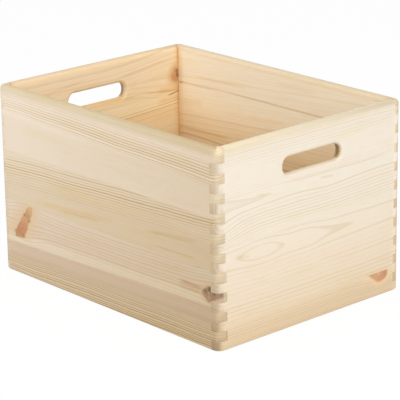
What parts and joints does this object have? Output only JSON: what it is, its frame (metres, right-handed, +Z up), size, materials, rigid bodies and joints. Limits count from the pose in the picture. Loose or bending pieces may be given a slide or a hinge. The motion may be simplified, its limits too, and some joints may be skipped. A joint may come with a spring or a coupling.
{
  "type": "wooden apple crate",
  "caption": "Open pine apple crate with comb-jointed corners, rounded rim, a hand hold through each end wall and a grooved-in plywood bottom.",
  "frame": {"origin": "middle of the footprint, on the surface the crate stands on", "axes": "+X along the length, towards one hand hold; +Y across the width; +Z up, towards the open top"},
  "size_m": [0.4, 0.3, 0.24],
  "materials": {
    "pine": "planed and sanded pine, unvarnished",
    "plywood": "sanded plywood, unvarnished"
  },
  "bodies": {
    "root": {"front_top_stave": "pine", "front_middle_stave": "pine", "front_bottom_stave": "pine", "back_top_stave": "pine", "back_upper_stave": "pine", "back_lower_stave": "pine", "back_bottom_stave": "pine", "right_hold_stave": "pine", "right_upper_stave": "pine", "right_lower_stave": "pine", "right_bottom_stave": "pine", "left_hold_stave": "pine", "left_upper_stave": "pine", "left_lower_stave": "pine", "left_bottom_stave": "pine", "bottom_panel": "plywood"}
  },
  "joints": []
}
